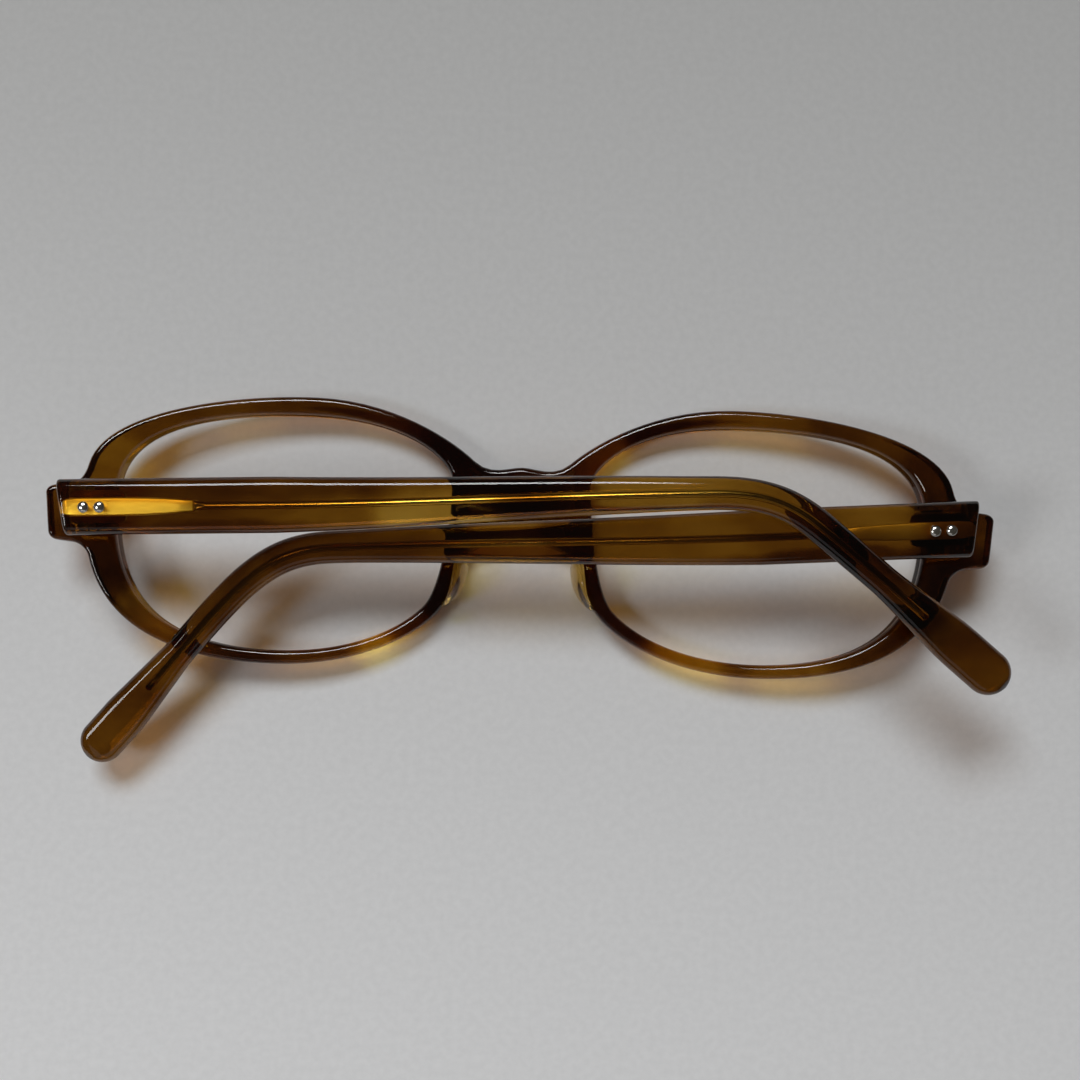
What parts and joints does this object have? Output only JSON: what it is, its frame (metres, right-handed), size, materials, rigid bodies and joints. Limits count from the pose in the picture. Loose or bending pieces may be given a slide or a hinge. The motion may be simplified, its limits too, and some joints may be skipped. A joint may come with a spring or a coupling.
{
  "type": "eyeglasses frame",
  "caption": "Acetate eyeglasses frame with a low bridge, oval openings for lenses and two folding temples on riveted hinges.",
  "frame": {"origin": "on the flat front face of the bridge, at the middle between the two lens openings", "axes": "+X to the wearer's right, +Y up to the brow, +Z from the front towards the wearer; stored face down with both temples folded, the left one over the right one"},
  "size_m": [0.1364, 0.0544, 0.0218],
  "materials": {
    "front_acetate": "polished amber and brown tortoise acetate",
    "temple_acetate": "polished olive and brown tortoise acetate",
    "pad_acetate": "polished pale amber acetate",
    "core_metal": "bright nickel silver",
    "hinge_metal": "satin nickel silver",
    "rivet_metal": "polished"
  },
  "bodies": {
    "front": {"front": "front_acetate", "nose_pad_left": "pad_acetate", "nose_pad_right": "pad_acetate", "front_hinge_leaf_left": "hinge_metal", "front_hinge_leaf_right": "hinge_metal", "hinge_screw_left": "hinge_metal", "hinge_screw_right": "hinge_metal", "front_rivet_left_1": "rivet_metal", "front_rivet_left_2": "rivet_metal", "front_rivet_right_1": "rivet_metal", "front_rivet_right_2": "rivet_metal"},
    "temple_left": {"temple_left": "temple_acetate", "core_wire_left": "core_metal", "temple_hinge_leaf_left": "hinge_metal", "temple_rivet_left_1": "rivet_metal", "temple_rivet_left_2": "rivet_metal"},
    "temple_right": {"temple_right": "temple_acetate", "core_wire_right": "core_metal", "temple_hinge_leaf_right": "hinge_metal", "temple_rivet_right_1": "rivet_metal", "temple_rivet_right_2": "rivet_metal"}
  },
  "joints": [
    {"name": "temple_left_hinge", "type": "hinge", "parent": "front", "child": "temple_left", "pos_m": [-0.06241, -0.0005, 0.01114], "axis": [0.0438, -0.9893, -0.139], "range_deg": [0, 87.2]},
    {"name": "temple_right_hinge", "type": "hinge", "parent": "front", "child": "temple_right", "pos_m": [0.06241, 0.0004, 0.01114], "axis": [-0.0721, 0.9877, 0.1388], "range_deg": [0, 91.3]}
  ],
  "couplings": [
    {"joint": "temple_right_hinge", "follows": "temple_left_hinge", "ratio": 1.04}
  ]
}
